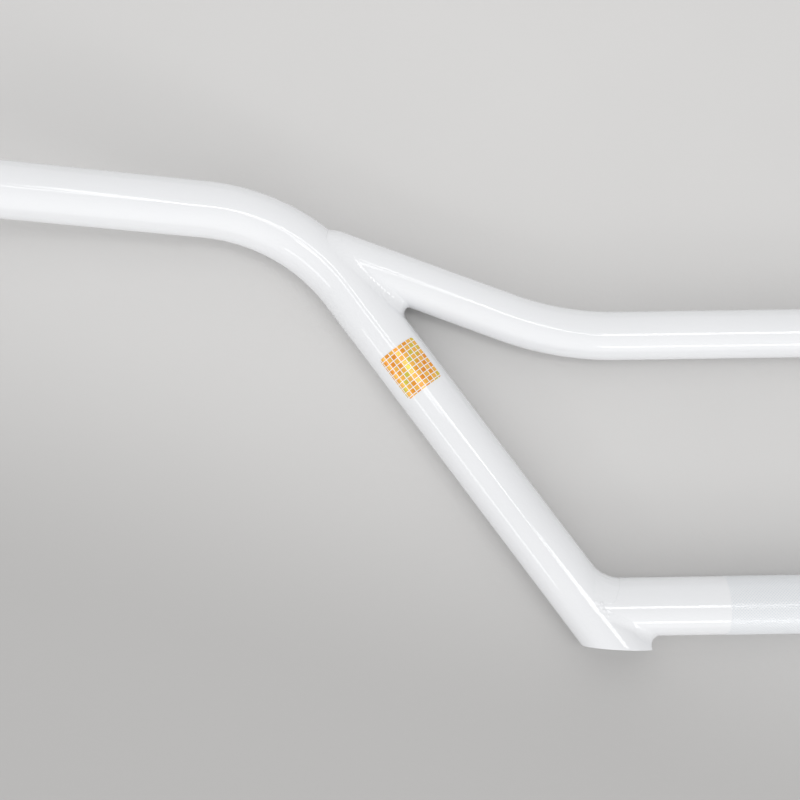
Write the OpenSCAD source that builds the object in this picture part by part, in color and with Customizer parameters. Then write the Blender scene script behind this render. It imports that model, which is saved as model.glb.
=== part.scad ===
// Handlebar for a BMX bicycle: two bent side tubes, a clamp tube and a crossbar, welded.
// Millimetres. X runs along the clamp tube, Y points up when the bar is fitted, and Z
// points to the rider. The origin is the middle of the clamp tube, on its axis.
// The bar lies on its front, with the clamp tube, the legs and the crossbar in one flat
// plane and the two grip ends swept up from it.

/* [Tubes] */
// Outside diameter of the clamp tube and of the side tubes
tube_d = 22.2; // [21.6:0.1:22.8]
// Wall of the clamp tube and of the side tubes
tube_wall = 1.5; // [1:0.1:2.5]
// Outside diameter of the crossbar
crossbar_d = 19.05; // [17:0.05:20]
// Wall of the crossbar
crossbar_wall = 1; // [0.8:0.1:2]

/* [Side tubes] */
// Width over the two bar ends
bar_width = 736; // [710:1:780]
// Distance between the two leg axes, measured on the clamp tube's axis
leg_spacing = 168.4; // [160:0.2:176]
// Angle between a leg and the clamp tube
leg_angle = 54; // [50:0.5:58]
// Height of the corner where the leg and grip axes would meet, above the clamp tube
corner_height = 154.5; // [148:0.5:164]
// Radius of the bend between leg and grip, on the tube's axis
bend_radius = 74; // [66:1:80]
// Rise of the grip towards its end
upsweep = 3.7; // [1:0.1:6]
// Sweep of the grip towards the rider
backsweep = 11; // [7:0.5:14]
// Chamfer on the rim of each open bar end
rim_chamfer = 0.3; // [0.1:0.1:0.5]

/* [Foot of each leg] */
// Length of leg axis that shows below the clamp tube's underside, measured along Y
foot_drop = 4.1; // [3:0.1:6]
// Tilt of the foot's cut away from the clamp tube's direction
foot_tilt = 3; // [1:0.5:6]
// Amount ground off the pointed tip of the foot
tip_trim = 2.9; // [1:0.1:3.5]

/* [Crossbar] */
// Height of the crossbar's middle above the clamp tube
crossbar_height = 105.2; // [100:0.2:110]
// Distance between the two corners of the crossbar's axis
crossbar_corners = 184.8; // [176:0.4:192]
// Slope of the crossbar's ends
crossbar_slope = 21.2; // [18:0.2:24]
// Radius of the crossbar's bends, on its axis
crossbar_bend_radius = 120; // [90:2:140]

/* [Knurled band] */
// Length of the knurled band in the middle of the clamp tube
knurl_length = 65; // [55:1:75]
// Height of the knurl above the tube
knurl_rise = 0.1; // [0.05:0.05:0.2]

/* [Bends] */
// Swell of a tube in its bend, on the radius
bend_swell = 0.05; // [0.04:0.01:0.1]

/* [Welds] */
// Least gap between the coped end of a tube and the tube it meets
cope_gap = 0.05; // [0.04:0.01:0.1]
// Half of the lower bead's width where the two tubes lie flush
lower_half_width = 3.1; // [2.4:0.1:3.4]
// Half of the upper bead's width where the two tubes lie flush
upper_half_width = 2.5; // [1.8:0.1:3]
// Height of the point that pulls the lower bead's face outwards
lower_pull = 1.2; // [1:0.1:1.5]
// Height of the point that pulls the upper bead's face outwards
upper_pull = 1.3; // [0.8:0.1:1.4]
// Longest reach of the lower bead along the clamp tube
lower_reach = 5; // [4:0.1:6]
// Longest reach of the lower bead along the leg
lower_leg_reach = 3; // [2.5:0.1:3.5]
// Longest reach of the upper bead along the crossbar and the side tube
upper_reach = 8; // [5:0.1:9]
// Rounding of the bead's path where it turns over the top of the tubes
bead_turn = 0.32; // [0.3:0.02:0.6]
// Gap between the bead's underside and the tubes
bead_seat = 0.02; // [0.01:0.01:0.05]

/* [Foil patch] */
// Height of the patch's middle above the clamp tube
patch_height = 92.5; // [85:0.5:95]
// Length of the patch along the leg
patch_length = 19; // [12:0.5:22]
// Width of the patch, round the tube
patch_width = 17; // [10:0.5:20]
// Thickness of the foil
patch_thickness = 0.1; // [0.05:0.05:0.2]

/* [Hidden] */

$fn = 96;

tube_r = tube_d / 2;
crossbar_r = crossbar_d / 2;
bend_r = tube_r + bend_swell;
cope_r = bend_r + cope_gap;

// Joined solids run on this far into each other.
lap = 0.5;
// The beads reckon with the swell from this far before the bend.
swell_lead = 2;
// What cuts an end runs on this far past it.
past = 1;
// The leg is first drawn this much longer than its foot.
foot_spare = 20;
// Size of the blocks and rods that cut the feet and the coped ends.
cut_size = 60;
// Each bead has this many sections, with this many steps on its face and on either half
// of its underside.
bead_sections = 72;
face_steps = 6;
seat_steps = 4;
// The point that pulls the bead's face outwards stays within this share of its reach.
pull_share = 0.6;
// The seam lies within this length of the branch, and is found by so many halvings.
seam_length = 70;
seam_halvings = 20;

// The left side tube. Its bend lies in a plane that is turned about the leg's axis.
leg_x = leg_spacing / 2;
down_leg = [cos(leg_angle), -sin(leg_angle), 0];
across_leg = [sin(leg_angle), cos(leg_angle), 0];
corner = [-leg_x - corner_height / tan(leg_angle), corner_height, 0];
along_grip = [-cos(upsweep) * cos(backsweep), sin(upsweep) * cos(backsweep), sin(backsweep)];
bend_turn = atan2(along_grip * [0, 0, 1], along_grip * across_leg);
bend_angle = 180 - acos(along_grip * down_leg);
bend_trim = bend_radius * tan(bend_angle / 2);
in_bend = cos(bend_turn) * across_leg + sin(bend_turn) * [0, 0, 1];
grip_length = (corner[0] + bar_width / 2) / -along_grip[0] - bend_trim;
leg_length = corner_height / sin(leg_angle) - bend_trim;

// The foot is cut on a slant, and its tip is ground square.
foot_reach = (tube_r + foot_drop) / sin(leg_angle);
foot_axis = [-leg_x, 0, 0] + foot_reach * down_leg;
tip_x = foot_axis[0] + tube_r * cos(foot_tilt) / sin(leg_angle - foot_tilt) - tip_trim;

// The crossbar's left end runs from its corner up to the axis of the side tube.
crossbar_corner = [-crossbar_corners / 2, crossbar_height, 0];
crossbar_trim = crossbar_bend_radius * tan(crossbar_slope / 2);
down_crossbar = [cos(crossbar_slope), -sin(crossbar_slope), 0];
crossbar_run = leg_run(crossbar_corner) / leg_run_rate();
crossbar_end = crossbar_corner - crossbar_run * down_crossbar;

// Distance of a point from the leg's axis, positive on the side of the bar's middle
function leg_run(p) = (p - corner) * across_leg;

// How fast that distance falls on the way up the crossbar's end
function leg_run_rate() = down_crossbar * across_leg;

function unit(v) = v / norm(v);

// A point of the side tube's axis that is nearest to p, on the leg or on the bend
function near_side_tube(p) =
    let (a = (p - corner) * down_leg)
    let (b = (p - corner) * in_bend)
    let (out = unit([a - bend_trim, b - bend_radius]))
    a > bend_trim
        ? corner + a * down_leg
        : corner + (bend_trim + bend_radius * out[0]) * down_leg
                 + (bend_radius + bend_radius * out[1]) * in_bend;

// A point of the straight axis through from, along dir, that is nearest to p
function near_axis(p, from, dir) = from + ((p - from) * dir) * dir;

// A point on the surface of a branch tube: turn goes round it, s runs along it
function on_branch(from, dir, r, turn, s) =
    from + s * dir + r * (cos(turn) * unit(cross([0, 0, 1], dir)) + sin(turn) * [0, 0, 1]);

// A point of the leg's straight axis, drawn on past the bend, that is nearest to p
function near_leg(p) = near_axis(p, corner, down_leg);

// Radius of the side tube beside p. The swell counts from a little before the bend.
function side_r(p) = (p - corner) * down_leg > bend_trim + swell_lead ? tube_r : bend_r;

// Place along the branch, between low and high, where its surface comes out of a straight
// cylinder of radius out_r around the leg's axis
function leave_s(from, dir, r, turn, out_r,
                 low = 0, high = seam_length, steps = seam_halvings) =
    let (mid = (low + high) / 2)
    let (p = on_branch(from, dir, r, turn, mid))
    steps == 0
        ? mid
        : norm(p - near_leg(p)) > out_r
            ? leave_s(from, dir, r, turn, out_r, low, mid, steps - 1)
            : leave_s(from, dir, r, turn, out_r, mid, high, steps - 1);

// The bead's root: a point of the corner between the branch and the side tube
function root(from, dir, r, turn) =
    on_branch(from, dir, r, turn, leave_s(from, dir, r, turn, tube_r + bead_turn));

// The point p, moved to just above the surface of the branch
function above_branch(p, from, dir, r) =
    let (middle = near_axis(p, from, dir))
    middle + (r + bead_seat) * unit(p - middle);

// The point p, moved to just above the surface of the side tube
function above_side(p) =
    let (middle = near_side_tube(p))
    middle + (side_r(p) + bead_seat) * unit(p - middle);

// One section of the bead. Its face is a curve from the toe on the branch to the toe on
// the side tube. Its underside follows the two tubes to the edge of the coped end.
function bead_section(from, dir, r, turn, half_width, pull, reach, side_reach) =
    let (q = root(from, dir, r, turn))
    let (path = unit(root(from, dir, r, turn + 1) - root(from, dir, r, turn - 1)))
    let (n_branch = unit(q - near_axis(q, from, dir)))
    let (n_side = unit(q - near_side_tube(q)))
    let (out = unit(n_branch + n_side))
    let (narrow = sqrt((1 + n_branch * n_side) / 2))
    let (to_branch = q + min(half_width / narrow, reach) * unit(cross(n_branch, path)))
    let (to_side = q + min(half_width / narrow, side_reach) * unit(cross(path, n_side)))
    let (toe_a = above_branch(to_branch, from, dir, r))
    let (toe_b = above_side(to_side))
    let (cope = on_branch(from, dir, r, turn, leave_s(from, dir, r, turn, cope_r)))
    let (edge_a = above_branch(cope, from, dir, r))
    let (edge_b = above_side(cope))
    let (peak = q + min(pull / narrow, pull_share * side_reach) * out)
    concat(
        [for (i = [0 : face_steps])
            let (f = i / face_steps)
            (1 - f) * (1 - f) * toe_a + 2 * f * (1 - f) * peak + f * f * toe_b],
        [for (i = [seat_steps - 1 : -1 : 0])
            above_side(edge_b + i / seat_steps * (toe_b - edge_b))],
        [for (i = [0 : seat_steps - 1])
            above_branch(edge_a + i / seat_steps * (toe_a - edge_a), from, dir, r)]
    );

// A closed ring through a list of sections that all have the same number of points
module ring(sections) {
    n = len(sections);
    m = len(sections[0]);
    points = [for (section = sections) for (p = section) p];
    faces = [for (i = [0 : n - 1]) for (j = [0 : m - 1])
        let (a = i * m + j)
        let (b = i * m + (j + 1) % m)
        let (c = ((i + 1) % n) * m + (j + 1) % m)
        let (d = ((i + 1) % n) * m + j)
        each [[a, b, c], [a, c, d]]];
    polyhedron(points, faces, convexity = 8);
}

// A straight round rod from one point towards a direction
module rod(from, dir, length, r) {
    translate(from)
        rotate([0, acos(dir[2]), atan2(dir[1], dir[0])])
            cylinder(h = length, r = r);
}

// A bend about the origin with a straight rod on either side of it. The bend starts on
// the X axis, and the first rod runs on from there.
module bent_rod(r, radius, angle, first, second) {
    rotate_extrude(angle = angle)
        translate([radius, 0])
            circle(r + bend_swell);
    translate([radius, lap, 0])
        rotate([90, 0, 0])
            cylinder(h = lap + first, r = r);
    rotate([0, 0, angle])
        translate([radius, -lap, 0])
            rotate([-90, 0, 0])
                cylinder(h = lap + second, r = r);
}

// The left side tube's outline as a solid of any radius, with its foot left long
module side_rod(r, extra = 0) {
    translate(corner)
        rotate([0, 0, -leg_angle])
            rotate([bend_turn, 0, 0])
                translate([bend_trim, bend_radius, 0])
                    rotate([0, 0, -90 - bend_angle])
                        bent_rod(r, bend_radius, bend_angle,
                                 grip_length + extra, leg_length + foot_reach + foot_spare);
}

// What the foot's slanted cut and the ground tip take away
module foot_waste() {
    translate(foot_axis)
        rotate([0, 0, -foot_tilt])
            translate([-cut_size, -cut_size, -cut_size / 2])
                cube([2 * cut_size, cut_size, cut_size]);
    translate([tip_x, foot_axis[1] - cut_size / 2, -cut_size / 2])
        cube([cut_size, cut_size / 2 + foot_drop, cut_size]);
}

module side_tube() {
    color("white")
        difference() {
            side_rod(tube_r);
            side_rod(tube_r - tube_wall, extra = past);
            foot_waste();
            bar_end_chamfer();
        }
}

// A cone ring that takes the sharp edge off the bar end
module bar_end_chamfer() {
    end = corner + (bend_trim + grip_length) * along_grip;
    translate(end)
        rotate([0, acos(along_grip[2]), atan2(along_grip[1], along_grip[0])])
            rotate_extrude()
                polygon([
                    [tube_r - rim_chamfer - past, past],
                    [tube_r + past, -rim_chamfer - past],
                    [tube_r + past, past]
                ]);
}

module clamp_tube() {
    half = knurl_length / 2;
    color("white")
        difference() {
            union() {
                rod([-leg_x, 0, 0], [1, 0, 0], leg_spacing, tube_r);
                rotate([0, 90, 0])
                    rotate_extrude()
                        polygon([
                            [tube_r - lap, -half],
                            [tube_r, -half],
                            [tube_r + knurl_rise, -half + 2 * knurl_rise],
                            [tube_r + knurl_rise, half - 2 * knurl_rise],
                            [tube_r, half],
                            [tube_r - lap, half]
                        ]);
            }
            rod([-leg_x - past, 0, 0], [1, 0, 0], leg_spacing + 2 * past,
                tube_r - tube_wall);
            leg_cut(0);
            mirror([1, 0, 0])
                leg_cut(0);
        }
}

// The straight cope that fits a tube's end to the leg, around the leg axis at a height
module leg_cut(height) {
    middle = [-leg_x - height / tan(leg_angle), height, 0];
    rod(middle - cut_size * down_leg, down_leg, 2 * cut_size, cope_r);
}

// The crossbar's outline as a solid of any radius
module crossbar_rod(r) {
    middle = crossbar_corners - 2 * crossbar_trim;
    translate([-middle / 2 - lap, crossbar_height, 0])
        rotate([0, 90, 0])
            rotate([0, 0, -90])
                cylinder(h = middle + 2 * lap, r = r);
    for (side = [0, 1])
        mirror([side, 0, 0])
            translate([-middle / 2, crossbar_height + crossbar_bend_radius, 0])
                rotate([0, 0, -90 - crossbar_slope]) {
                    rotate_extrude(angle = crossbar_slope)
                        translate([crossbar_bend_radius, 0])
                            circle(r + bend_swell);
                    translate([crossbar_bend_radius, lap, 0])
                        rotate([90, 0, 0])
                            cylinder(h = crossbar_run - crossbar_trim + lap, r = r);
                }
}

module crossbar() {
    color("white")
        difference() {
            crossbar_rod(crossbar_r);
            crossbar_rod(crossbar_r - crossbar_wall);
            leg_cut(corner_height);
            mirror([1, 0, 0])
                leg_cut(corner_height);
        }
}

// The bead that runs round the coped end of a branch tube
module bead(from, dir, r, half_width, pull, reach, side_reach) {
    ring([for (i = [0 : bead_sections - 1])
        bead_section(from, dir, r, i * 360 / bead_sections, half_width, pull, reach, side_reach)]);
}

module lower_weld() {
    color("white")
        bead([-leg_x, 0, 0], [1, 0, 0], tube_r,
             lower_half_width, lower_pull, lower_reach, lower_leg_reach);
}

module upper_weld() {
    color("white")
        bead(crossbar_end, down_crossbar, crossbar_r,
             upper_half_width, upper_pull, upper_reach, upper_reach);
}

// A thin foil that is wrapped on the front of the left leg
module foil_patch() {
    wrap = patch_width / tube_r * 180 / PI;
    color("gold")
        translate([-leg_x - patch_height / tan(leg_angle), patch_height, 0])
            rotate([0, 0, -leg_angle])
                rotate([0, 90, 0])
                    rotate([0, 0, 180 - wrap / 2])
                        rotate_extrude(angle = wrap)
                            translate([tube_r, -patch_length / 2])
                                square([patch_thickness, patch_length]);
}

clamp_tube();
side_tube();  // left_side_tube
mirror([1, 0, 0]) side_tube();  // right_side_tube
crossbar();
lower_weld();  // lower_left_weld
mirror([1, 0, 0]) lower_weld();  // lower_right_weld
upper_weld();  // upper_left_weld
mirror([1, 0, 0]) upper_weld();  // upper_right_weld
foil_patch();
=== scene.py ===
"""Looks of a white BMX handlebar that lies on its front on a pale paper floor.

All sizes are in millimetres in the CAD's own frame: X along the clamp tube, Y up when the
bar is fitted, Z to the rider, and the origin in the middle of the clamp tube. They are
turned to metres where a mesh is made.
"""

import logging
import math
from abc import ABC, abstractmethod
from collections.abc import Callable
from dataclasses import dataclass
from enum import Enum

import bpy
import numpy as np
from mathutils import Matrix, Vector


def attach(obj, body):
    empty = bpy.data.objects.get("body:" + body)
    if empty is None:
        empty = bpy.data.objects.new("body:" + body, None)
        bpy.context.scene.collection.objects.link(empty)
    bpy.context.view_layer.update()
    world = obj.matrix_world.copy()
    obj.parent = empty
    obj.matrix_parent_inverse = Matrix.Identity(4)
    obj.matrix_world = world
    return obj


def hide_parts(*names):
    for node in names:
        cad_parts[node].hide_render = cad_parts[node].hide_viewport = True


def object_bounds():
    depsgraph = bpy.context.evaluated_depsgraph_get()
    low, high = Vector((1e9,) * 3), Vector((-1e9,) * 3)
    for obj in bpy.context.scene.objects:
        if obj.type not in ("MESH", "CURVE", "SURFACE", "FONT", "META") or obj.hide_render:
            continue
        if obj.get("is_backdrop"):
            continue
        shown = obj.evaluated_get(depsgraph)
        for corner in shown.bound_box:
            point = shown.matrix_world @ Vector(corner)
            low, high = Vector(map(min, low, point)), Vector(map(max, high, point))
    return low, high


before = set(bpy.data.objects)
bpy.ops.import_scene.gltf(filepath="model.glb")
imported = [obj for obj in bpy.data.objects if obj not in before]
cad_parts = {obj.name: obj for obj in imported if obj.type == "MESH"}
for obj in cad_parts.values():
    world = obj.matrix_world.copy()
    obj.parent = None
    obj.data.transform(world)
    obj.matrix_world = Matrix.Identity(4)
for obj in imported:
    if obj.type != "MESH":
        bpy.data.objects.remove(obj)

log = logging.getLogger("handlebar")

Array = np.ndarray
Point = tuple[float, float, float]
MM = 0.001
WHITE = "#FFFFFF"
PAINT_WHITE = "#EDEEF0"
FRONT = np.array([0.0, 0.0, 1.0])
# Quads whose diagonals differ by less than this in depth keep their fold.
SAME_DEPTH = 1e-6


class Side(Enum):
    """The two halves of the bar. The left half is worked out, the right is its mirror."""

    LEFT = 1.0
    RIGHT = -1.0


def linear_colour(sheet_colour: str) -> tuple[float, float, float, float]:
    """Turns an sRGB hex colour into linear red, green and blue, and an alpha of 1."""
    parts = [int(sheet_colour[i:i + 2], 16) / 255 for i in (1, 3, 5)]
    linear = [p / 12.92 if p <= 0.04045 else ((p + 0.055) / 1.055) ** 2.4 for p in parts]
    return (*linear, 1.0)


def add_node(tree: bpy.types.NodeTree, kind: str, settings: dict | None = None,
             links: dict | None = None) -> bpy.types.Node:
    """Adds one shader node with its settings and its incoming links.

    Args:
        tree: the node tree that gets the node.
        kind: Blender's name of the node's type, after the word ShaderNode.
        settings: node properties by name, or values of input sockets by name or number.
        links: output sockets that feed this node's inputs, by input name or number.

    Returns:
        The new node.
    """
    node = tree.nodes.new("ShaderNode" + kind)
    for name, value in (settings or {}).items():
        if isinstance(name, str) and name not in node.inputs:
            setattr(node, name, value)
        else:
            node.inputs[name].default_value = value
    for name, source in (links or {}).items():
        tree.links.new(source, node.inputs[name])
    return node


def new_material(name: str) -> tuple[bpy.types.Material, bpy.types.NodeTree]:
    """Makes an empty node material, and gives it with its tree."""
    material = bpy.data.materials.new(name)
    material.use_nodes = True
    material.node_tree.nodes.clear()
    return material, material.node_tree


def new_object(name: str, data: bpy.types.ID) -> bpy.types.Object:
    """Makes an object for a mesh, a lamp or a camera, and links it to the scene."""
    new = bpy.data.objects.new(name, data)
    bpy.context.scene.collection.objects.link(new)
    return new


def new_piece(name: str, mesh: bpy.types.Mesh, material: bpy.types.Material, node: str) -> bpy.types.Object:
    """Puts a mesh in the place of a CAD node, with its finish and material slot."""
    mesh.materials.append(material)
    piece = new_object(name, mesh)
    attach(piece, "root")
    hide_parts(node)
    log.info("%s: %d faces for %s", name, len(mesh.polygons), node)
    return piece


@dataclass(frozen=True)
class GlossPowderCoat:
    """Thick white powder coat, baked on steel: glossy, with a faint orange peel.

    The knurl's grooves carry a painted shade: by their depth the colour turns to a bluer grey, for the
    shade that falls in them.
    """

    name: str = "white_powder_coat"
    body: str = PAINT_WHITE
    shade: str = "#EAEBED"
    groove_shade: str = "#CFD9E0"
    ior: float = 1.5
    roughness: float = 0.05
    cloud_mm: float = 40.0
    peel_mm: float = 3.2
    peel_height_mm: float = 0.001

    def build(self) -> bpy.types.Material:
        """Builds the paint: two close whites in wide clouds, a painted shade in the knurl's grooves, and a
        bump of orange peel.
        """
        material, tree = new_material(self.name)
        place = add_node(tree, "TexCoord").outputs["Object"]
        clouds = add_node(
            tree, "TexNoise", {"Scale": 1 / (self.cloud_mm * MM), "Detail": 2.0}, {"Vector": place})
        white = add_node(
            tree, "Mix", {"data_type": "RGBA", 6: linear_colour(self.shade),
            7: linear_colour(self.body)}, {0: clouds.outputs["Fac"]})
        # Painted shade: by their depth, the knurl's grooves turn to a bluer grey.
        depth = add_node(tree, "Attribute", {"attribute_name": "groove_shade"})
        colour = add_node(
            tree, "Mix", {"data_type": "RGBA", 7: linear_colour(self.groove_shade)}, {0: depth.outputs["Fac"],
            6: white.outputs[2]})
        peel = add_node(
            tree, "TexNoise", {"Scale": 1 / (self.peel_mm * MM), "Detail": 1.0}, {"Vector": place})
        bump = add_node(
            tree, "Bump", {"Strength": 1.0, "Distance": self.peel_height_mm * MM},
            {"Height": peel.outputs["Fac"]})
        paint = add_node(
            tree, "BsdfPrincipled", {"Roughness": self.roughness, "IOR": self.ior},
            {"Base Color": colour.outputs[2], "Normal": bump.outputs["Normal"]})
        add_node(tree, "OutputMaterial", {}, {"Surface": paint.outputs["BSDF"]})
        return material


@dataclass(frozen=True)
class GoldFoil:
    """Gold holographic film, printed with a plain checker and sealed with clear coat.

    Thin lines of white paint part the squares. The gold turns from orange to yellow green
    in slanted bands, and fine facets tilt it here and there, as a diffraction film does.
    The bands' wave texture has the Scale band_scale / band_mm.
    """

    name: str = "gold_holographic_film"
    orange: str = "#EC9414"
    gold: str = "#F0A328"
    green: str = "#D8C83E"
    pale: str = "#F6B84A"
    gold_place: float = 0.6
    check_mm: float = 2.1
    line_mm: float = 0.32
    line_roughness: float = 0.1
    band_mm: float = 11.0
    band_scale: float = 0.32
    band_wander: float = 3.0
    facet_mm: float = 0.7
    facet_height_mm: float = 0.04
    facet_strength: float = 0.35
    roughness: float = 0.27
    metallic: float = 0.35
    coat: float = 0.6
    coat_roughness: float = 0.07

    def build(self) -> bpy.types.Material:
        """Builds the film on its own UV map, which is in millimetres."""
        material, tree = new_material(self.name)
        place = add_node(tree, "UVMap", {"uv_map": "film_mm"}).outputs["UV"]
        checks = add_node(tree, "TexChecker", {"Scale": 1 / self.check_mm}, {"Vector": place})
        lines = add_node(
            tree, "TexBrick", {"offset": 0.0, "squash": 1.0, "Scale": 1.0, "Brick Width": self.check_mm,
            "Row Height": self.check_mm, "Mortar Size": self.line_mm / 2, "Mortar Smooth": 0.0},
            {"Vector": place})
        bands = add_node(
            tree, "TexWave", {"bands_direction": "DIAGONAL", "Scale": self.band_scale / self.band_mm,
            "Distortion": self.band_wander, "Detail": 1.0}, {"Vector": place})
        hue = add_node(tree, "ValToRGB", {}, {"Fac": bands.outputs["Fac"]})
        ramp = hue.color_ramp
        ramp.elements[0].color = linear_colour(self.orange)
        ramp.elements[1].color = linear_colour(self.green)
        ramp.elements.new(self.gold_place).color = linear_colour(self.gold)
        two_tone = add_node(
            tree, "Mix", {"data_type": "RGBA", 7: linear_colour(self.pale)}, {0: checks.outputs["Fac"],
            6: hue.outputs["Color"]})
        facets = add_node(tree, "TexVoronoi", {"Scale": 1 / self.facet_mm}, {"Vector": place})
        bump = add_node(
            tree, "Bump", {"Strength": self.facet_strength, "Distance": self.facet_height_mm * MM},
            {"Height": facets.outputs["Distance"]})
        foil = add_node(
            tree, "BsdfPrincipled", {"Roughness": self.roughness, "Metallic": self.metallic,
            "Coat Weight": self.coat, "Coat Roughness": self.coat_roughness},
            {"Base Color": two_tone.outputs[2], "Normal": bump.outputs["Normal"]})
        paint = add_node(
            tree, "BsdfPrincipled", {"Roughness": self.line_roughness,
            "Base Color": linear_colour(PAINT_WHITE)})
        film = add_node(
            tree, "MixShader", {}, {0: lines.outputs["Fac"], 1: foil.outputs["BSDF"],
            2: paint.outputs["BSDF"]})
        add_node(tree, "OutputMaterial", {}, {"Surface": film.outputs["Shader"]})
        return material


@dataclass(frozen=True)
class PaperFloor:
    """Light grey studio paper, rolled out flat: matt, with faint clouds and fibres.

    A painted shade, for the light's falloff, makes it darker towards the picture's lower left,
    over a width of ramp_mm. ramp_turn turns the map onto the ramp, and at the origin ramp_start of the ramp
    is done.
    """

    name: str = "grey_studio_paper"
    light: str = "#D8D7D6"
    light_cloud: str = "#D3D2D1"
    falloff_shade: str = "#BAB9B8"
    cloud_mm: float = 90.0
    fibre_mm: float = 2.4
    fibre_height_mm: float = 0.1
    fibre_strength: float = 0.5
    roughness: float = 0.9
    ramp_mm: float = 134.0
    ramp_turn: float = math.radians(-73.3)
    ramp_start: float = 0.622

    def build(self) -> bpy.types.Material:
        """Builds the paper: wide clouds of two greys, a painted shade that darkens it along a ramp, and a
        fine fibre bump.
        """
        material, tree = new_material(self.name)
        place = add_node(tree, "TexCoord").outputs["Object"]
        clouds = add_node(
            tree, "TexNoise", {"Scale": 1 / (self.cloud_mm * MM), "Detail": 5.0}, {"Vector": place})
        pale = add_node(
            tree, "Mix", {"data_type": "RGBA", 6: linear_colour(self.light_cloud),
            7: linear_colour(self.light)}, {0: clouds.outputs["Fac"]})
        # Painted shade: along this ramp the paper darkens, for the light's falloff.
        turned = add_node(
            tree, "Mapping", {"Location": (self.ramp_start, 0.0, 0.0),
            "Rotation": (0.0, 0.0, self.ramp_turn), "Scale": (1 / (self.ramp_mm * MM),) * 3},
            {"Vector": place})
        ramp = add_node(
            tree, "TexGradient", {"gradient_type": "EASING"}, {"Vector": turned.outputs["Vector"]})
        colour = add_node(
            tree, "Mix", {"data_type": "RGBA", 6: linear_colour(self.falloff_shade)}, {0: ramp.outputs["Fac"],
            7: pale.outputs[2]})
        fibres = add_node(
            tree, "TexNoise", {"Scale": 1 / (self.fibre_mm * MM), "Detail": 4.0}, {"Vector": place})
        bump = add_node(
            tree, "Bump", {"Strength": self.fibre_strength, "Distance": self.fibre_height_mm * MM},
            {"Height": fibres.outputs["Fac"]})
        paper = add_node(tree, "BsdfPrincipled", {"Roughness": self.roughness},
                         {"Base Color": colour.outputs[2], "Normal": bump.outputs["Normal"]})
        add_node(tree, "OutputMaterial", {}, {"Surface": paper.outputs["BSDF"]})
        return material


def unit(vectors: Array) -> Array:
    """Scales each vector to length 1."""
    return vectors / np.linalg.norm(vectors, axis=-1, keepdims=True)


def dot(a: Array, b: Array) -> Array:
    """Dot product of the last axes, which stays as an axis of length 1."""
    return np.sum(a * b, axis=-1, keepdims=True)


def ring_faces(rows: int, columns: int) -> Array:
    """Numbers the quads of a grid that closes on itself both ways.

    Args:
        rows: number of rows.
        columns: number of points in a row.

    Returns:
        An array of four point numbers a face.
    """
    i = np.arange(rows)[:, None] * columns
    i_next = (np.arange(rows)[:, None] + 1) % rows * columns
    j = np.arange(columns)[None, :]
    j_next = (j + 1) % columns
    return np.stack([i + j, i + j_next, i_next + j_next, i_next + j], axis=-1).reshape(-1, 4)


def valley_first(faces: Array, depth: Array) -> Array:
    """Turns each quad, by the depth of its points, so that it folds in its valley.

    A quad is drawn as two triangles on either side of its first diagonal.
    """
    at = depth[faces]
    other = at[:, 1] + at[:, 3] > at[:, 0] + at[:, 2] + SAME_DEPTH
    return np.where(other[:, None], np.roll(faces, -1, axis=1), faces)


def volume(points: Array, faces: Array) -> float:
    """Volume inside closed quads: a sixth of the sum of each triangle's box product."""
    a, b, c, d = (points[faces[:, k]] for k in range(4))
    return float(np.sum(a * np.cross(b, c)) + np.sum(a * np.cross(c, d))) / 6


def make_piece(name: str, grid: Array, side: Side, material: bpy.types.Material,
               node: str, depth: Array | None = None) -> bpy.types.Object:
    """Makes a closed piece out of a grid of points and puts it in a node's place.

    Args:
        name: the piece's name.
        grid: points in millimetres, rows by columns by 3, of the left half's piece.
        side: the half it belongs to. On the right, X changes its sign.
        material: its finish.
        node: the CAD node that it stands for.
        depth: depth of each point in a groove, which the paint reads to lay its painted shade in the
            grooves.

    Returns:
        The new object, at the origin, with its faces outwards.
    """
    points = grid.reshape(-1, 3) * np.array([side.value, 1.0, 1.0])
    faces = ring_faces(*grid.shape[:2])
    if volume(points, faces) < 0:
        faces = faces[:, ::-1]
    if depth is not None:
        faces = valley_first(faces, depth.ravel())
    mesh = bpy.data.meshes.new(name)
    mesh.from_pydata(points * MM, [], faces)
    mesh.shade_smooth()
    # The depth goes on as an attribute, which the paint reads for its painted shade in the grooves.
    if depth is not None:
        groove_shade = mesh.attributes.new("groove_shade", "FLOAT", "POINT")
        groove_shade.data.foreach_set("value", depth.ravel())
    return new_piece(name, mesh, material, node)


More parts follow.
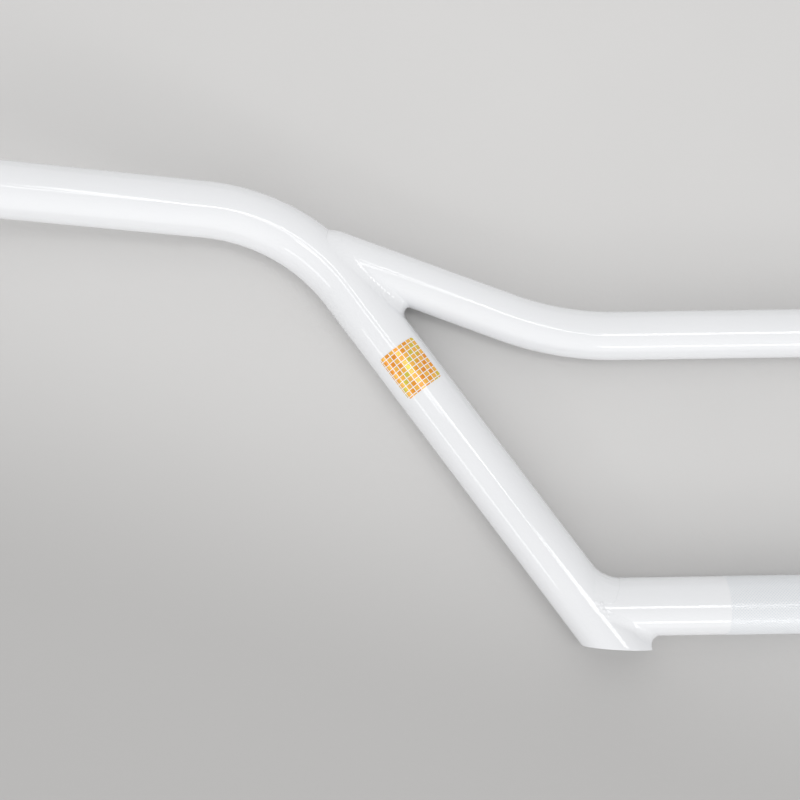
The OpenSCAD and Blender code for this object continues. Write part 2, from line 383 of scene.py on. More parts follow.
@dataclass(frozen=True)
class Rail:
    """A tube's axis in one plane: straight runs with a round bend at each inner corner.

    A point at s lies on the run or on the bend that s falls into, and a bend of radius R
    that turns by t takes R tan(t / 2) off either run.
    """

    corners: tuple[Point, ...]
    normal: Point
    radius: float = 1.0

    def bends(self) -> tuple[Array, list[float], list[float]]:
        """Unit runs, and the angle of each bend and what it takes off either run."""
        runs = unit(np.diff(np.array(self.corners), axis=0))
        turns = [math.acos(np.clip(a @ b, -1, 1)) for a, b in zip(runs, runs[1:])]
        return runs, turns, [self.radius * math.tan(turn / 2) for turn in turns]

    def walk(self, s: Array) -> tuple[Array, Array]:
        """Finds places on the axis.

        Args:
            s: distances from the first corner, of any shape.

        Returns:
            The places and the directions, each with an axis of 3 added.
        """
        corners = np.array(self.corners)
        runs, turns, trims = self.bends()
        starts = [0.0, *trims]
        stops = [*trims, 0.0]
        s = np.asarray(s, float)[..., None]
        place = np.zeros(s.shape[:-1] + (3,))
        along = np.zeros_like(place)
        reached = 0.0
        for k, run in enumerate(runs):
            length = np.linalg.norm(corners[k + 1] - corners[k]) - starts[k] - stops[k]
            begin = corners[k] + starts[k] * run
            here = s >= reached if k else s > -np.inf
            place = np.where(here, begin + (s - reached) * run, place)
            along = np.where(here, run, along)
            reached += length
            if k < len(turns):
                bend = s >= reached
                inwards = unit(np.cross(np.cross(run, runs[k + 1]), run))
                t = (s - reached) / self.radius
                end = begin + length * run
                arc = end + self.radius * (np.sin(t) * run + (1 - np.cos(t)) * inwards)
                place = np.where(bend, arc, place)
                along = np.where(bend, np.cos(t) * run + np.sin(t) * inwards, along)
                reached += self.radius * turns[k]
        return place, along

    def length(self) -> float:
        """Length of the whole axis."""
        _, turns, trims = self.bends()
        steps = np.diff(np.array(self.corners), axis=0)
        total = float(np.sum(np.linalg.norm(steps, axis=1)))
        for turn, trim in zip(turns, trims):
            total += self.radius * turn - 2 * trim
        return total

    def surface(self, s: Array, angle: Array, r: Array) -> Array:
        """Points round the axis at s: place + r (cos angle side + sin angle normal)."""
        place, along = self.walk(s)
        normal = np.array(self.normal)
        side = np.cross(normal, along)
        angle, r = np.asarray(angle)[..., None], np.asarray(r)[..., None]
        return place + r * (np.cos(angle) * side + np.sin(angle) * normal)


@dataclass(frozen=True)
class Sizes:
    """The part's own sizes, as in its source, and what follows from them.

    The last two are for the looks alone: the length over which the swell grows, and how
    far the paint stays inside the solids' box.
    """

    tube_r: float = 11.1
    bore_r: float = 9.6
    crossbar_r: float = 9.525
    crossbar_bore_r: float = 8.525
    leg_x: float = 84.2
    leg_angle: float = math.radians(54)
    corner_height: float = 154.5
    bend_radius: float = 74.0
    upsweep: float = math.radians(3.7)
    backsweep: float = math.radians(11)
    half_width: float = 368.0
    foot_drop: float = 4.1
    foot_tilt: float = math.radians(3)
    tip_trim: float = 2.9
    crossbar_height: float = 105.2
    crossbar_half: float = 92.4
    crossbar_slope: float = math.radians(21.2)
    crossbar_bend_radius: float = 120.0
    knurl_half: float = 32.5
    cope_r: float = 11.2
    swell: float = 0.05
    bead_turn: float = 0.32
    swell_ease: float = 12.0
    slack: float = 0.02

    @property
    def down_leg(self) -> Array:
        """Direction of the left leg, from the bend to the foot."""
        return np.array([math.cos(self.leg_angle), -math.sin(self.leg_angle), 0.0])

    @property
    def across_leg(self) -> Array:
        """Direction square to the left leg, towards the bar's middle."""
        return np.array([math.sin(self.leg_angle), math.cos(self.leg_angle), 0.0])

    @property
    def foot_slant(self) -> Array:
        """Direction square to the foot's slanted cut, into the tube."""
        return np.array([math.sin(self.foot_tilt), math.cos(self.foot_tilt), 0.0])

    @property
    def corner(self) -> Array:
        """Where the axes of the left leg and the left grip would meet."""
        return np.array(
            [-self.leg_x - self.corner_height / math.tan(self.leg_angle), self.corner_height, 0.0])

    @property
    def along_grip(self) -> Array:
        """Direction of the left grip, from the bend to the bar end."""
        return np.array(
            [-math.cos(self.upsweep) * math.cos(self.backsweep),
            math.sin(self.upsweep) * math.cos(self.backsweep), math.sin(self.backsweep)])

    @property
    def foot(self) -> Array:
        """Point of the leg's axis in the foot's slanted cut."""
        reach = (self.tube_r + self.foot_drop) / math.sin(self.leg_angle)
        return np.array([-self.leg_x, 0.0, 0.0]) + reach * self.down_leg

    @property
    def tip_x(self) -> float:
        """X of the face that is ground on the tip of the left foot."""
        half_cut = self.tube_r * math.cos(self.foot_tilt)
        return float(self.foot[0] - self.tip_trim
                     + half_cut / math.sin(self.leg_angle - self.foot_tilt))

    @property
    def down_crossbar(self) -> Array:
        """Direction of the crossbar's left end, away from the side tube."""
        return np.array([math.cos(self.crossbar_slope), -math.sin(self.crossbar_slope), 0.0])

    @property
    def crossbar_end(self) -> Array:
        """Where the crossbar's axis meets the left leg's axis."""
        start = np.array([-self.crossbar_half, self.crossbar_height, 0.0])
        run = ((start - self.corner) @ self.across_leg) / (self.down_crossbar @ self.across_leg)
        return start - run * self.down_crossbar


SIZES = Sizes()


def leave_leg(start: Array, along: Array, out_r: float) -> Array:
    """Finds where lines leave a cylinder round the left leg's axis.

    Square to the leg, a line's place grows as a + s b, so s is the larger root of
    |a + s b| = out_r.

    Args:
        start: points at s = 0.
        along: unit direction of the lines.
        out_r: the cylinder's radius.

    Returns:
        s of each line.
    """
    down = SIZES.down_leg
    a = start - SIZES.corner
    a = a - dot(a, down) * down
    b = along - dot(along, down) * down
    bb, ab, aa = dot(b, b), dot(a, b), dot(a, a)
    return ((-ab + np.sqrt(ab * ab - bb * (aa - out_r * out_r))) / bb)[..., 0]


@dataclass(frozen=True)
class Tube(ABC):
    """A round tube with rounded rims. Each end may be cut to a shape of its own.

    The surface runs out along the outside, over the far rim, back along the bore and
    over the near rim, so its rows close on themselves.
    """

    rail: Rail
    outer_r: float
    bore_r: float
    rim_round: float = 0.4
    rim_rows: int = 6
    columns: int = 256
    lead_shares: tuple[float, ...] = (0.02, 0.1, 0.3, 0.6)

    @abstractmethod
    def start_cut(self, angle: Array, r: float) -> Array:
        """Where the near end begins, by angle, on radius r."""

    @abstractmethod
    def stations(self) -> Array:
        """Distances along the axis for the rows between the two ends."""

    def end_cut(self, angle: Array, r: float) -> Array:
        """Where the far end stops, by angle, on radius r: square."""
        return np.full_like(angle, self.rail.length())

    def skin_r(self, s: Array, angle: Array) -> Array:
        """Radius of the outside at a place."""
        return np.full(np.broadcast(s, angle).shape, self.outer_r)

    def rim(self, angle: Array, cut: Callable[[Array, float], Array],
            inwards: float) -> list[Array]:
        """Rows over a rim, from the outside to the bore.

        Each edge is a quadratic curve from the tube's side to the cut face, pulled to
        the sharp edge.

        Args:
            angle: angles round the tube.
            cut: start_cut or end_cut.
            inwards: 1 where the tube lies on the side of larger s, else -1.

        Returns:
            Rows of points.
        """
        e = self.rim_round
        f = np.linspace(0, 1, self.rim_rows)[:, None, None]

        def at(r: float, back: float) -> Array:
            """Points of the cut at radius r, moved back into the tube."""
            return self.rail.surface(cut(angle, r) + inwards * back, angle, np.full_like(angle, r))

        def curve(a: Array, b: Array, c: Array) -> Array:
            """Quadratic curve from a to c that b pulls."""
            return (1 - f) ** 2 * a + 2 * f * (1 - f) * b + f ** 2 * c

        outer = curve(at(self.outer_r, e), at(self.outer_r, 0), at(self.outer_r - e, 0))
        inner = curve(at(self.bore_r + e, 0), at(self.bore_r, 0), at(self.bore_r, e))
        return [*outer, *inner]

    def grid(self) -> Array:
        """Builds the closed grid of the whole tube.

        Between an end and the nearest station, rows lie at lead_shares of the way. The
        bore takes every second row.
        """
        angle = np.linspace(0, 2 * np.pi, self.columns, endpoint=False)
        s = self.stations()
        near, far = self.start_cut(angle, self.outer_r), self.end_cut(angle, self.outer_r)
        lead = np.array(self.lead_shares)[:, None]
        begin = near + 2 * self.rim_round
        finish = far - 2 * self.rim_round
        rows = np.concatenate(
            [begin + lead * (s[0] - begin), np.repeat(s[:, None], self.columns, 1),
            finish + lead[::-1] * (s[-1] - finish)])
        turns = np.broadcast_to(angle, rows.shape)
        outside = self.rail.surface(rows, turns, self.skin_r(rows, turns))
        bore_rows = rows[::-2]
        bore_turns = np.broadcast_to(angle, bore_rows.shape)
        bore = self.rail.surface(bore_rows, bore_turns, np.full(bore_rows.shape, self.bore_r))
        far_rim = self.rim(angle, self.end_cut, -1)
        near_rim = self.rim(angle, self.start_cut, 1)[::-1]
        return np.concatenate([outside, far_rim, bore, near_rim])


@dataclass(frozen=True)
class SideTube(Tube):
    """Foot, leg, bend and grip in one bent tube."""

    rail: Rail = Rail((tuple(SIZES.foot), tuple(SIZES.corner),
                       tuple(SIZES.corner + (SIZES.half_width + SIZES.corner[0])
                             / -SIZES.along_grip[0] * SIZES.along_grip)),
                      tuple(unit(np.cross(-SIZES.down_leg, SIZES.along_grip))),
                      SIZES.bend_radius)
    outer_r: float = SIZES.tube_r - SIZES.slack
    bore_r: float = SIZES.bore_r
    foot_room: float = 34.0
    end_room: float = 3.0
    leg_rows: int = 22
    bend_rows: int = 53
    grip_rows: int = 26

    def start_cut(self, angle: Array, r: float) -> Array:
        """Cuts the foot with two planes, and the nearer one to the bend wins.

        The slanted cut goes through the foot's point, and the ground tip is square to X.
        """
        up = -SIZES.down_leg
        normal = np.array(self.rail.normal)
        out = np.cos(angle)[:, None] * np.cross(normal, up) + np.sin(angle)[:, None] * normal
        on_slant = -r * (out @ SIZES.foot_slant) / (up @ SIZES.foot_slant)
        on_tip = (SIZES.foot[0] + r * out[:, 0] - SIZES.tip_x) / -up[0]
        return np.maximum(on_slant, on_tip)

    def skin_r(self, s: Array, angle: Array) -> Array:
        """Radius of the outside, which swells a little in the bend."""
        begin, finish = self.bend_span()
        ease = (np.clip((s - begin) / SIZES.swell_ease, 0, 1)
                * np.clip((finish - s) / SIZES.swell_ease, 0, 1))
        return self.outer_r + SIZES.swell * ease

    def turn(self) -> float:
        """Angle of the bend."""
        return math.pi - math.acos(float(SIZES.along_grip @ SIZES.down_leg))

    def trim(self) -> float:
        """Length that the bend takes off the leg and the grip."""
        return self.rail.radius * math.tan(self.turn() / 2)

    def bend_span(self) -> tuple[float, float]:
        """Where the bend begins and ends along the axis."""
        begin = float(np.linalg.norm(SIZES.corner - SIZES.foot)) - self.trim()
        return begin, begin + self.rail.radius * self.turn()

    def stations(self) -> Array:
        """Rows from past the foot to near the bar end, the closest ones in the bend."""
        begin, finish = self.bend_span()
        last = self.rail.length() - self.end_room
        return np.concatenate(
            [np.linspace(self.foot_room, begin, self.leg_rows)[:-1],
            np.linspace(begin, finish, self.bend_rows)[:-1], np.linspace(finish, last, self.grip_rows)])


@dataclass(frozen=True)
class CopedTube(Tube):
    """A tube between the two legs, whose ends are coped to fit round them."""

    def start_cut(self, angle: Array, r: float) -> Array:
        """Cuts the left end where it leaves a cylinder round the leg's axis."""
        start = self.rail.surface(np.zeros_like(angle), angle, np.full_like(angle, r))
        along = self.rail.walk(np.zeros(1))[1][0]
        return leave_leg(start, along, SIZES.cope_r)

    def end_cut(self, angle: Array, r: float) -> Array:
        """Cuts the right end, which is the mirror of the left."""
        return self.rail.length() - self.start_cut(angle, r)


@dataclass(frozen=True)
class Crossbar(CopedTube):
    """The bar between the legs, with a bend near each end."""

    rail: Rail = Rail(
        (tuple(SIZES.crossbar_end), (-SIZES.crossbar_half, SIZES.crossbar_height, 0.0),
        (SIZES.crossbar_half, SIZES.crossbar_height, 0.0),
        (-SIZES.crossbar_end[0], SIZES.crossbar_end[1], 0.0)), (0.0, 0.0, 1.0),
        SIZES.crossbar_bend_radius)
    outer_r: float = SIZES.crossbar_r
    bore_r: float = SIZES.crossbar_bore_r
    rim_round: float = 0.1
    joint_room: float = 46.0
    rows: int = 120

    def stations(self) -> Array:
        """Even rows between the two joints."""
        return np.linspace(self.joint_room, self.rail.length() - self.joint_room, self.rows)


@dataclass(frozen=True)
class ClampTube(CopedTube):
    """The straight tube that a stem clamps, with a knurled band in its middle.

    The knurl is a field of small pyramids with square bases that stand on their corners.
    A point's height is the smaller of two waves across the diagonals, raised to the
    power bulge, which rounds the pyramids. The grid has steps rows and columns a base.
    """

    rail: Rail = Rail(((-SIZES.leg_x, 0.0, 0.0), (SIZES.leg_x, 0.0, 0.0)), (0.0, 0.0, 1.0))
    outer_r: float = SIZES.tube_r
    bore_r: float = SIZES.bore_r
    rim_round: float = 0.1
    knurl_columns: int = 58
    steps: int = 4
    columns: int = knurl_columns * steps
    tip_mm: float = 0.1
    pit_mm: float = -0.06
    bulge: float = 0.45
    beyond_mm: tuple[float, ...] = (0.05, 0.3, 2.0, 8.0, 20.0)

    def base(self) -> float:
        """Diagonal of a pyramid's base."""
        return 2 * math.pi * self.outer_r / self.knurl_columns

    def waves(self, s: Array, angle: Array) -> tuple[Array, Array]:
        """Height across either diagonal, from 0 in its grooves to 1 between them."""
        x = (s - self.rail.length() / 2) / self.base()
        y = angle / (2 * np.pi) * self.knurl_columns
        return (1 - 2 * np.abs((x + y) - np.round(x + y)), 1 - 2 * np.abs((x - y) - np.round(x - y)))

    def on_band(self, s: Array) -> Array:
        """1 on the knurled band and 0 off it."""
        return (np.abs(s - self.rail.length() / 2) < SIZES.knurl_half).astype(float)

    def skin_r(self, s: Array, angle: Array) -> Array:
        """Radius of the outside, with the knurl on the band."""
        low = np.minimum(*self.waves(s, angle)) ** self.bulge
        height = self.pit_mm + (self.tip_mm - self.pit_mm) * low
        return self.outer_r + self.on_band(s) * height

    def stations(self) -> Array:
        """Rows for each pyramid on the band, and a few beyond either edge."""
        middle = self.rail.length() / 2
        step = self.base() / self.steps
        count = int(SIZES.knurl_half / step)
        band = middle + np.arange(-count, count + 1) * step
        beyond = np.array(self.beyond_mm)
        return np.concatenate(
            [middle - SIZES.knurl_half - beyond[::-1], band, middle + SIZES.knurl_half + beyond])

    def groove_shade(self) -> Array:
        """How deep in a pit each point of the grid lies, for the painted shade in the grooves.

        It is the square of the product of both diagonals' depths. The stations come after
        the grid's leading rows, and nothing after them is knurled.
        """
        angle = np.linspace(0, 2 * np.pi, self.columns, endpoint=False)
        s = self.stations()[:, None]
        first, second = self.waves(s, angle[None, :])
        depth = self.on_band(s) * ((1 - first) * (1 - second)) ** 2
        whole = np.zeros(self.grid().shape[:2])
        first_row = len(self.lead_shares)
        whole[first_row:first_row + len(depth)] = depth
        return whole


@dataclass(frozen=True)
class TorchMark:
    """A small round bump or dent that the torch left on the front of a bead."""

    x: float
    y: float
    radius: float
    rise: float


@dataclass(frozen=True)
class Bead:
    """A weld bead round the coped end of a branch tube, under thick paint.

    A section lies at each angle round the branch. Its face is a hollow fillet from the
    toe on the branch to the toe on the side tube, and its underside follows both tubes
    to the coped edge. Low ripples run along the face.

    The widths are those where the two tubes lie flush, and a fillet radius adds to them
    where they meet at an angle. Names that end in up are for the joint's upper side. The
    names with tip are for the foot's ground tip, where the bead is fuller.
    """

    start: Point
    along: Point
    branch_r: float
    branch_width: float
    branch_width_up: float
    branch_fillet_r: float
    side_width: float
    side_fillet_r: float
    side_fillet_r_up: float
    reach: float
    crown: float
    clear_of_axis: float = -math.inf
    torch_marks: tuple[TorchMark, ...] = ()
    sections: int = 480
    face_rows: int = 33
    seat_rows: int = 6
    path_r: float = SIZES.tube_r + SIZES.bead_turn
    path_step: float = math.radians(1)
    pull_lead: float = 0.8
    edge_room: float = 0.3
    least_lean: float = 0.3
    least_sine: float = 1e-3
    tip_reach: float = 2.2
    tip_swell: float = 1.8
    tip_lead: float = 7.0
    tip_weight: float = 0.7
    turn_span: float = 5.0
    seat: float = -0.01
    ripple_mm: float = 0.05
    ripple_pitch: float = 1.9
    ripple_bow: float = 2.2
    mark_fade: float = 6.0

    def on_branch(self, turn: Array, out_r: float) -> Array:
        """Points of the branch's surface where it leaves a cylinder round the leg."""
        along, start = np.array(self.along), np.array(self.start)
        side = unit(np.cross(FRONT, along))
        out = np.cos(turn)[:, None] * side + np.sin(turn)[:, None] * FRONT
        line = start + self.branch_r * out
        return line + leave_leg(line, along, out_r)[:, None] * along

    def near_branch(self, p: Array) -> Array:
        """The branch's axis point that is nearest to p."""
        along, start = np.array(self.along), np.array(self.start)
        return start + dot(p - start, along) * along

    @staticmethod
    def near_side_tube(p: Array) -> Array:
        """The side tube's axis point that is nearest to p, on the leg or on the bend."""
        tube = SideTube()
        down = SIZES.down_leg
        inwards = unit(SIZES.along_grip - (SIZES.along_grip @ down) * down)
        trim, radius = tube.trim(), tube.rail.radius
        a, b = dot(p - SIZES.corner, down), dot(p - SIZES.corner, inwards)
        out = unit(np.concatenate([a - trim, b - radius], axis=-1))
        on_bend = (SIZES.corner + (trim + radius * out[..., :1]) * down
                   + (radius + radius * out[..., 1:]) * inwards)
        return np.where(a > trim, SIZES.corner + a * down, on_bend)

    def above_branch(self, p: Array) -> Array:
        """The point p, moved to just above the branch."""
        middle = self.near_branch(p)
        return middle + (self.branch_r + self.seat) * unit(p - middle)

    def above_side(self, p: Array) -> Array:
        """The point p, moved to just above the side tube or onto the foot's ground tip."""
        middle = self.near_side_tube(p)
        in_bend = SideTube().trim() - dot(p - SIZES.corner, SIZES.down_leg)
        swell = SIZES.swell * np.clip(in_bend / SIZES.swell_ease, 0, 1)
        r = SIZES.tube_r - SIZES.slack + swell + self.seat
        above = middle + r * unit(p - middle)
        return np.concatenate(
            [np.minimum(above[..., :1], SIZES.tip_x - SIZES.slack), above[..., 1:]], axis=-1)

    def grid(self) -> Array:
        """Builds the bead as sections by points.

        With toes a and b, the root q and the weight w, the face is the conic
        ((1 - f)^2 a + 2 f (1 - f) w q + f^2 b) / ((1 - f)^2 + 2 f (1 - f) w + f^2). It
        leaves both tubes along their surfaces, and is a round fillet where w is the
        cosine of half the angle between the two surfaces' normals. The crown on it is a
        low swelling that peaks at f = 1/3, where f (1 - f)^2 is 4/27.
        """
        turn = np.linspace(0, 2 * np.pi, self.sections, endpoint=False)
        q = self.on_branch(turn, SIZES.tube_r)
        path = unit(self.on_branch(turn + self.path_step, self.path_r)
                    - self.on_branch(turn - self.path_step, self.path_r))
        n_branch = unit(q - self.near_branch(q))
        n_side = unit(q - self.near_side_tube(q))
        cosine = np.sqrt((1 + dot(n_branch, n_side)) / 2)
        slope = np.sqrt(1 - cosine ** 2) / cosine
        up = np.clip(0.5 - dot(q - self.start, SIZES.down_leg) / self.turn_span, 0, 1)
        tip = np.clip(1 + (q[:, :1] - SIZES.tip_x) / self.tip_lead, 0, 1)
        branch_wide = (1 - up) * self.branch_width + up * self.branch_width_up
        branch_wide = np.hypot(branch_wide, self.branch_fillet_r * slope) + self.tip_reach * tip
        side_r = (1 - up) * self.side_fillet_r + up * self.side_fillet_r_up
        side_wide = np.minimum(
            np.hypot(self.side_width, side_r * slope) + self.tip_reach * tip, self.reach)
        down_side = unit(np.cross(path, n_side))
        side_wide = self.room(q, down_side, side_wide)
        toe_a = self.above_branch(
            q + np.minimum(branch_wide, self.reach) * unit(np.cross(n_branch, path)))
        far = q + side_wide * down_side
        toe_b = np.where(side_wide < 0, self.above_branch(far), self.above_side(far))
        pull = (q + np.minimum(side_wide - self.pull_lead, 0) * down_side
                + self.tip_swell * tip * np.array(self.along))
        f = np.linspace(0, 1, self.face_rows)[None, :, None]
        weight = np.maximum(cosine, self.tip_weight * tip)[:, None]
        a, mid, b = (1 - f) ** 2, 2 * f * (1 - f) * weight, f ** 2
        face = (a * toe_a[:, None] + mid * pull[:, None] + b * toe_b[:, None]) / (a + mid + b)
        out = unit(n_branch + n_side)[:, None]
        run = np.cumsum(np.linalg.norm(np.diff(q, axis=0, append=q[:1]), axis=1))
        waves = round(run[-1] / self.ripple_pitch)
        phase = run[:, None, None] / run[-1] * waves * 2 * np.pi
        bow = np.sin(np.pi * f) ** 2
        crown = 27 / 4 * f * (1 - f) ** 2 * self.crown * cosine[:, None] ** 2
        ripple = bow * self.ripple_mm * (1 - np.cos(phase + self.ripple_bow * bow)) / 2
        marks = np.clip(self.mark_fade * f * (1 - f), 0, 1) * self.marks(face)
        face = face + (crown - ripple + marks) * out
        cope = self.on_branch(turn, SIZES.cope_r)
        g = (np.arange(self.seat_rows) / self.seat_rows)[None, :, None]
        edge_a, edge_b = self.above_branch(cope)[:, None], self.above_side(cope)[:, None]
        under_side = self.above_side(edge_b + g[:, ::-1] * (toe_b[:, None] - edge_b))
        under_branch = self.above_branch(edge_a + g * (toe_a[:, None] - edge_a))
        return np.concatenate([face, under_side, under_branch], axis=1)

    def room(self, q: Array, way: Array, wide: Array) -> Array:
        """Keeps the toe on the side tube off the foot's edge and off the leg's front.

        Args:
            q: the root of each section.
            way: direction from the root to the toe on the side tube.
            wide: the wanted width there.

        Returns:
            The width that fits. It is below 0 where the toe lies beyond the root.
        """
        to_edge = dot(q - SIZES.foot, SIZES.foot_slant) - self.edge_room
        sinks = np.maximum(-dot(way, SIZES.foot_slant), self.least_sine)
        sinking = dot(way, SIZES.down_leg) > 0
        wide = np.where(sinking, np.minimum(wide, to_edge / sinks), wide)
        to_front = dot(q - SIZES.corner, SIZES.across_leg) - self.clear_of_axis
        leans = np.maximum(-dot(way, SIZES.across_leg), self.least_sine)
        return np.where(leans > self.least_lean, np.minimum(wide, to_front / leans), wide)

    def marks(self, face: Array) -> Array:
        """Height of the torch marks at points on the front of the bead.

        Each mark is its rise times exp(-(distance / radius)^2), seen along Z.
        """
        height = np.zeros(face.shape[:-1] + (1,))
        for mark in self.torch_marks:
            away = (face[..., :1] - mark.x) ** 2 + (face[..., 1:2] - mark.y) ** 2
            bump = mark.rise * np.exp(-away / mark.radius ** 2)
            height = height + bump * (face[..., 2:] > 0)
        return height


@dataclass(frozen=True)
class FoilPatch:
    """Thin film wrapped on the front of the left leg.

    The point at u along the leg and w round it lies at the angle w / r from the leg's
    front, with r the tube's radius. The map stays clear of zero by map_start.
    """

    height: float = 92.5
    length: float = 19.0
    width: float = 17.0
    thickness: float = 0.1
    lift: float = 0.01
    corner_round: float = 1.2
    map_start: float = 50.0
    rows: int = 41
    columns: int = 41
    least_reach: float = 1e-9

    def build(self, material: bpy.types.Material) -> bpy.types.Object:
        """Makes the film as a thin closed shell with a UV map in millimetres."""
        u, w = np.meshgrid(
            np.linspace(-0.5, 0.5, self.rows), np.linspace(-0.5, 0.5, self.columns), indexing="ij")
        u, w = self.rounded(u * self.length, w * self.width)
        middle = np.array([-SIZES.leg_x - self.height / math.tan(SIZES.leg_angle), self.height, 0.0])
        angle = w[..., None] / SIZES.tube_r
        out = np.sin(angle) * SIZES.across_leg + np.cos(angle) * FRONT
        axis = middle + u[..., None] * SIZES.down_leg
        top = axis + (SIZES.tube_r + self.thickness) * out
        under = axis + (SIZES.tube_r + self.lift) * out
        points = np.concatenate([top.reshape(-1, 3), under.reshape(-1, 3)])
        faces = self.faces()
        mesh = bpy.data.meshes.new("foil_film")
        mesh.from_pydata(points * MM, [], faces)
        uv = np.stack([np.tile(u.ravel(), 2), np.tile(w.ravel(), 2)], axis=-1)
        layer = mesh.uv_layers.new(name="film_mm")
        layer.data.foreach_set("uv", (uv[faces.ravel()] + self.map_start).ravel())
        return new_piece("foil_film", mesh, material, "foil_patch")

    def rounded(self, u: Array, w: Array) -> tuple[Array, Array]:
        """Pulls the corners in: what lies beyond a corner's circle moves onto it."""
        r = self.corner_round
        over_u = np.maximum(np.abs(u) - (self.length / 2 - r), 0)
        over_w = np.maximum(np.abs(w) - (self.width / 2 - r), 0)
        reach = np.maximum(np.hypot(over_u, over_w), self.least_reach)
        keep = np.minimum(np.maximum(over_u, over_w) / reach, 1.0)
        keep = np.where((over_u > 0) & (over_w > 0), keep, 1.0)
        return (np.sign(u) * (np.abs(u) - over_u * (1 - keep)),
                np.sign(w) * (np.abs(w) - over_w * (1 - keep)))

    def faces(self) -> Array:
        """Numbers the quads of the top, the underside and the edge round them."""
        number = np.arange(self.rows * self.columns).reshape(self.rows, self.columns)
        a, b = number[:-1, :-1], number[:-1, 1:]
        c, d = number[1:, 1:], number[1:, :-1]
        top = np.stack([a, d, c, b], axis=-1).reshape(-1, 4)
        under = np.stack([a, b, c, d], axis=-1).reshape(-1, 4) + number.size
        loop = np.concatenate([number[0, :-1], number[:-1, -1], number[-1, :0:-1], number[:0:-1, 0]])
        nxt = np.roll(loop, -1)
        edge = np.stack([loop, nxt, nxt + number.size, loop + number.size], axis=-1)
        return np.concatenate([top, under, edge])


class Handlebar:
    """Builds every piece of the bar."""

    def __init__(self) -> None:
        """Builds the two finishes."""
        self.paint = GlossPowderCoat().build()
        self.film = GoldFoil().build()

    def build(self) -> None:
        """Makes the tubes, the beads and the film."""
        self.build_tubes()
        self.build_beads()
        FoilPatch().build(self.film)

    def build_tubes(self) -> None:
        """Makes the two side tubes, the crossbar and the clamp tube."""
        side_grid = SideTube().grid()
        for side, name in ((Side.LEFT, "left"), (Side.RIGHT, "right")):
            make_piece(f"{name}_side_tube_skin", side_grid, side, self.paint,
                       f"{name}_side_tube")
        make_piece("crossbar_skin", Crossbar().grid(), Side.LEFT, self.paint, "crossbar")
        clamp = ClampTube()
        make_piece("clamp_tube_skin", clamp.grid(), Side.LEFT, self.paint,
                   "clamp_tube", clamp.groove_shade())

    def build_beads(self) -> None:
        """Makes the four weld beads, two shapes and their mirrors."""
        marks = (TorchMark(-83.5, 3.0, 0.5, 0.35), TorchMark(-81.3, 2.4, 0.5, 0.45),
                 TorchMark(-81.6, 1.1, 0.6, -0.4), TorchMark(-80.4, -0.3, 0.45, 0.35),
                 TorchMark(-79.0, -2.2, 0.45, 0.3), TorchMark(-82.6, 0.2, 0.4, 0.2))
        lower = Bead(
            (-SIZES.leg_x, 0.0, 0.0), (1.0, 0.0, 0.0), SIZES.tube_r, branch_width=2.4,
            branch_width_up=6.2, branch_fillet_r=0.7, side_width=1.5, side_fillet_r=1.6,
            side_fillet_r_up=13.0, reach=7.5, crown=0.18, clear_of_axis=1.4, torch_marks=marks).grid()
        upper = Bead(
            tuple(SIZES.crossbar_end), tuple(SIZES.down_crossbar), SIZES.crossbar_r, branch_width=2.4,
            branch_width_up=2.4, branch_fillet_r=2.1, side_width=3.4, side_fillet_r=2.5,
            side_fillet_r_up=2.8, reach=12.0, crown=0.12).grid()
        for level, grid in (("lower", lower), ("upper", upper)):
            for side, name in ((Side.LEFT, "left"), (Side.RIGHT, "right")):
                make_piece(f"{level}_{name}_bead", grid, side, self.paint,
                           f"{level}_{name}_weld")


@dataclass(frozen=True)
class StudioCamera:
    """The camera that looks down on the bar's left half, as in the photograph."""

    place_mm: Point = (-156.734, 35.961, 432.690)
    tilt: float = 0.104
    roll_y: float = -0.001
    turn: float = -0.015
    lens_mm: float = 50.0
    sensor_mm: float = 36.0
    nearest_mm: float = 10.0
    farthest_mm: float = 20000.0

    def build(self) -> None:
        """Makes the camera, turned about X first, then Y and then Z."""
        data = bpy.data.cameras.new("studio_camera")
        data.lens = self.lens_mm
        data.sensor_width = self.sensor_mm
        data.clip_start = self.nearest_mm * MM
        data.clip_end = self.farthest_mm * MM
        camera = new_object("studio_camera", data)
        turned = (Matrix.Rotation(self.turn, 4, "Z") @ Matrix.Rotation(self.roll_y, 4, "Y")
                  @ Matrix.Rotation(self.tilt, 4, "X"))
        camera.matrix_world = Matrix.Translation(Vector(self.place_mm) * MM) @ turned
        bpy.context.scene.camera = camera


@dataclass(frozen=True)
class SkyLobe:
    """Part of the room's light, which comes from one side or from above.

    Its strength is the square of the cosine of the angle to its axis, and 0 beyond a
    right angle. The axis is turn_deg from +X, and rises rise_deg over the floor.
    """

    turn_deg: float
    rise_deg: float
    strength: float

    def build(self, tree: bpy.types.NodeTree, way: bpy.types.NodeSocket
              ) -> bpy.types.NodeSocket:
        """Adds the lobe's light to the world, where way is the direction looked in."""
        axis = (0.0, -math.radians(self.rise_deg), math.radians(self.turn_deg))
        turned = add_node(
            tree, "Mapping", {"vector_type": "TEXTURE", "Rotation": axis}, {"Vector": way})
        lobe = add_node(
            tree, "TexGradient", {"gradient_type": "QUADRATIC"}, {"Vector": turned.outputs["Vector"]})
        power = add_node(
            tree, "Math", {"operation": "MULTIPLY", 1: self.strength}, {0: lobe.outputs["Fac"]})
        light = add_node(
            tree, "Background", {"Color": linear_colour(WHITE)}, {"Strength": power.outputs["Value"]})
        return light.outputs["Background"]


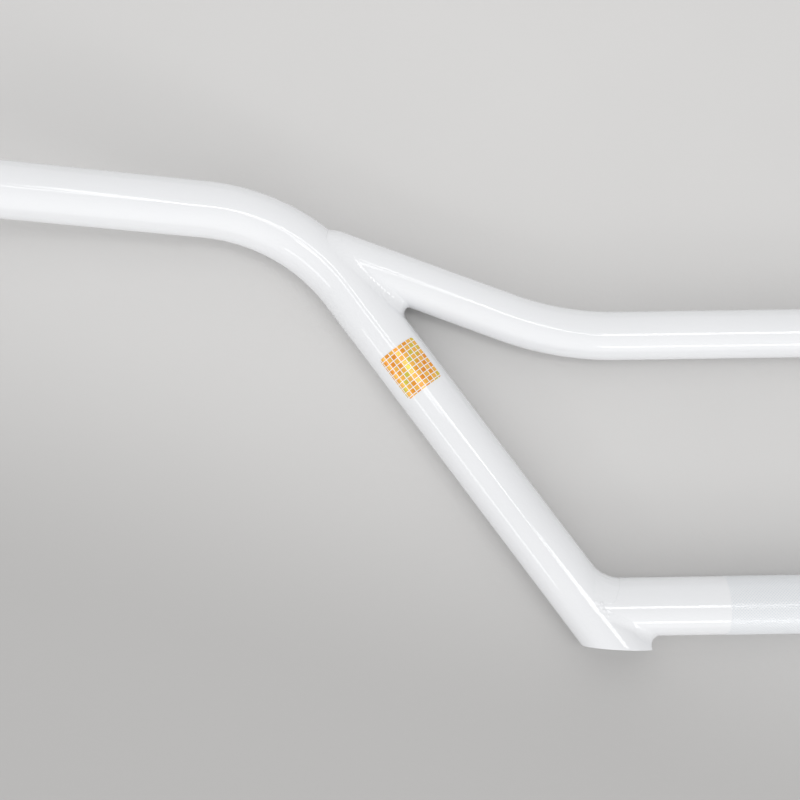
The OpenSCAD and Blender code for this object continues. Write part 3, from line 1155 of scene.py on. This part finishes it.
@dataclass(frozen=True)
class StripLamp:
    """One lamp over the floor. A glossy one also shows as a line on the paint."""

    name: str
    place_mm: Point
    aim_mm: Point
    length_mm: float
    width_mm: float
    along_deg: float
    watts: float
    glossy: bool = True

    def build(self) -> None:
        """Makes the lamp. It faces its aim, and its length runs near along_deg from +X."""
        data = bpy.data.lights.new(self.name, "AREA")
        data.shape = "RECTANGLE"
        data.size = self.length_mm * MM
        data.size_y = self.width_mm * MM
        data.energy = self.watts
        lamp = new_object(self.name, data)
        lamp.visible_camera = False
        lamp.visible_glossy = self.glossy
        back = (Vector(self.place_mm) - Vector(self.aim_mm)).normalized()
        turn = math.radians(self.along_deg)
        wanted = Vector((math.cos(turn), math.sin(turn), 0))
        along = (wanted - wanted.dot(back) * back).normalized()
        across = back.cross(along)
        axes = Matrix((along, across, back)).transposed().to_4x4()
        lamp.matrix_world = Matrix.Translation(Vector(self.place_mm) * MM) @ axes


class Studio:
    """Floor, lamps, world and camera."""

    lamps = (
        StripLamp("strip_over_clamp", (310, 10, 1200), (-60, 60, 0), 360, 180, 0, 1.05),
        StripLamp("strip_over_grip", (-170, 125, 1200), (-200, 120, 0), 400, 110, 0, 0.4),
        StripLamp("strip_over_leg", (12, 48, 1200), (-120, 60, 0), 380, 55, 126, 0.34),
        StripLamp("strip_over_joint", (-150, 285, 1200), (-150, 110, 0), 220, 110, 126, 0.3),
        StripLamp("strip_over_bend", (-405, 105, 1200), (-160, 110, 0), 250, 110, 118, 0.3),
        StripLamp("strip_low", (272, -1068, 585), (-40, 50, 0), 440, 180, 0, 0.95),
        StripLamp("near_top", (-170, 270, 480), (-170, 270, 0), 500, 300, 0, 0.27, False),
        StripLamp("strip_low_left", (-1040, -585, 650), (-130, 65, 0), 500, 150, -50, 0.62))
    lobes = (
        SkyLobe(-90, 12, 1.11), SkyLobe(-90, 45, 0.16), SkyLobe(180, 25, 0.06), SkyLobe(90, 12, 0.8))
    floor_size_mm = 6000.0
    world_strength = 0.33

    def build(self, floor_z: float) -> None:
        """Sets up the studio, with the floor at floor_z metres, the bar's lowest point."""
        StudioCamera().build()
        for lamp in self.lamps:
            lamp.build()
        self.build_floor(floor_z)
        self.build_world()

    def build_floor(self, floor_z: float) -> None:
        """Lays one flat square of paper at floor_z."""
        half = self.floor_size_mm * MM / 2
        corners = [(-half, -half, floor_z), (half, -half, floor_z),
                   (half, half, floor_z), (-half, half, floor_z)]
        mesh = bpy.data.meshes.new("floor")
        mesh.from_pydata(corners, [], [(0, 1, 2, 3)])
        mesh.materials.append(PaperFloor().build())
        floor = new_object("floor", mesh)
        floor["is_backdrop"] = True

    def build_world(self) -> None:
        """Fills the room with even white light, and adds the lobes to it."""
        world = bpy.data.worlds.new("studio")
        world.use_nodes = True
        tree = world.node_tree
        tree.nodes.clear()
        way = add_node(tree, "TexCoord").outputs["Generated"]
        light = add_node(
            tree, "Background", {"Color": linear_colour(WHITE),
            "Strength": self.world_strength}).outputs["Background"]
        for lobe in self.lobes:
            both = add_node(tree, "AddShader", {}, {0: light, 1: lobe.build(tree, way)})
            light = both.outputs["Shader"]
        add_node(tree, "OutputWorld", {}, {"Surface": light})
        bpy.context.scene.world = world


def main() -> None:
    """Builds the studio and the bar."""
    logging.basicConfig(level=logging.INFO, format="%(name)s: %(message)s")
    bpy.context.scene.view_settings.view_transform = "Standard"
    cad_low, cad_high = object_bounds()
    Studio().build(cad_low.z)
    Handlebar().build()


if __name__ == "__main__":
    main()
